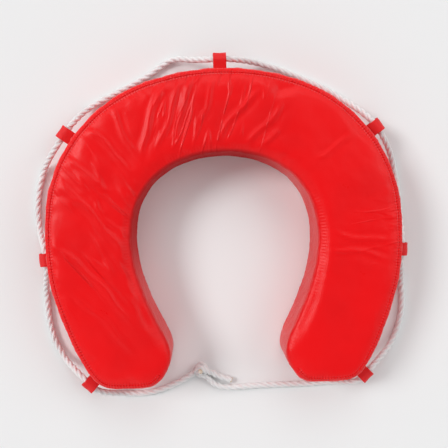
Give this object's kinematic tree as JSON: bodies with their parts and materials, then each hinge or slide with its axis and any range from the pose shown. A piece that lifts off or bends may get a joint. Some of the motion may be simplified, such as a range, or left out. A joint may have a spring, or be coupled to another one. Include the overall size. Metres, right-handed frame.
{
  "type": "horseshoe lifebuoy",
  "caption": "Horseshoe-shaped lifebuoy: a laminated foam core in a zipped coated-fabric cover, with strap loops round the outside carrying a knotted grab rope.",
  "frame": {"origin": "on the ground under the middle of the buoy with its strap loops, rope left out", "axes": "+X to the right leg, +Y to the crown (the mouth faces -Y), +Z out of the front panel; the buoy lies on its back panel"},
  "size_m": [0.6655, 0.6093, 0.1],
  "materials": {
    "coated_fabric": "red, PVC-coated, semi-gloss, creased",
    "foam": "closed-cell foam, off-white",
    "rope": "white laid floating rope",
    "zip_tape": "dark red woven tape",
    "zip_metal": "plated, satin"
  },
  "bodies": {
    "buoy": {"foam_back": "foam", "foam_middle": "foam", "foam_front": "foam", "cover_back": "coated_fabric", "cover_front": "coated_fabric", "outer_band_back": "coated_fabric", "outer_band_front": "coated_fabric", "inner_band": "coated_fabric", "zip_tape_front": "zip_tape", "zip_tape_back": "zip_tape", "zip_stop_left": "zip_metal", "zip_stop_right": "zip_metal", "grab_rope": "rope", "rope_tail": "rope", "rope_knot": "rope"},
    "zip_slider": {"zip_slider": "zip_metal"},
    "zip_pull": {"zip_pull": "zip_metal"},
    "loop_top": {"loop_top": "coated_fabric"},
    "loop_upper_left": {"loop_upper_left": "coated_fabric"},
    "loop_upper_right": {"loop_upper_right": "coated_fabric"},
    "loop_mid_left": {"loop_mid_left": "coated_fabric"},
    "loop_mid_right": {"loop_mid_right": "coated_fabric"},
    "loop_lower_left": {"loop_lower_left": "coated_fabric"},
    "loop_lower_right": {"loop_lower_right": "coated_fabric"}
  },
  "joints": [
    {"name": "loop_top_flop", "type": "hinge", "parent": "buoy", "child": "loop_top", "pos_m": [0, 0.25769, 0.05], "axis": [1, 0, 0], "range_deg": [-5, 4], "stiffness_Nm_per_rad": 0.02},
    {"name": "loop_upper_left_flop", "type": "hinge", "parent": "buoy", "child": "loop_upper_left", "pos_m": [-0.25077, 0.14544, 0.05], "axis": [0.5878, 0.809, 0], "range_deg": [-5, 4], "stiffness_Nm_per_rad": 0.02},
    {"name": "loop_upper_right_flop", "type": "hinge", "parent": "buoy", "child": "loop_upper_right", "pos_m": [0.25077, 0.14544, 0.05], "axis": [0.5878, -0.809, 0], "range_deg": [-5, 4], "stiffness_Nm_per_rad": 0.02},
    {"name": "loop_mid_left_flop", "type": "hinge", "parent": "buoy", "child": "loop_mid_left", "pos_m": [-0.29813, -0.05512, 0.05], "axis": [-0.0698, 0.9976, 0], "range_deg": [-5, 4], "stiffness_Nm_per_rad": 0.02},
    {"name": "loop_mid_right_flop", "type": "hinge", "parent": "buoy", "child": "loop_mid_right", "pos_m": [0.29813, -0.05512, 0.05], "axis": [-0.0698, -0.9976, 0], "range_deg": [-5, 4], "stiffness_Nm_per_rad": 0.02},
    {"name": "loop_lower_left_flop", "type": "hinge", "parent": "buoy", "child": "loop_lower_left", "pos_m": [-0.22477, -0.25914, 0.05], "axis": [-0.7193, 0.6947, 0], "range_deg": [-5, 4], "stiffness_Nm_per_rad": 0.02},
    {"name": "loop_lower_right_flop", "type": "hinge", "parent": "buoy", "child": "loop_lower_right", "pos_m": [0.22477, -0.25914, 0.05], "axis": [-0.7193, -0.6947, 0], "range_deg": [-5, 4], "stiffness_Nm_per_rad": 0.02},
    {"name": "zip_slide", "type": "hinge", "parent": "buoy", "child": "zip_slider", "pos_m": [0, -0.13731, 0.025], "axis": [0, 0, -1], "range_deg": [0, 33]},
    {"name": "zip_pull_flip", "type": "hinge", "parent": "zip_slider", "child": "zip_pull", "pos_m": [-0.11161, 0.24723, 0.025], "axis": [0, 0, 1], "range_deg": [0, 110]}
  ]
}
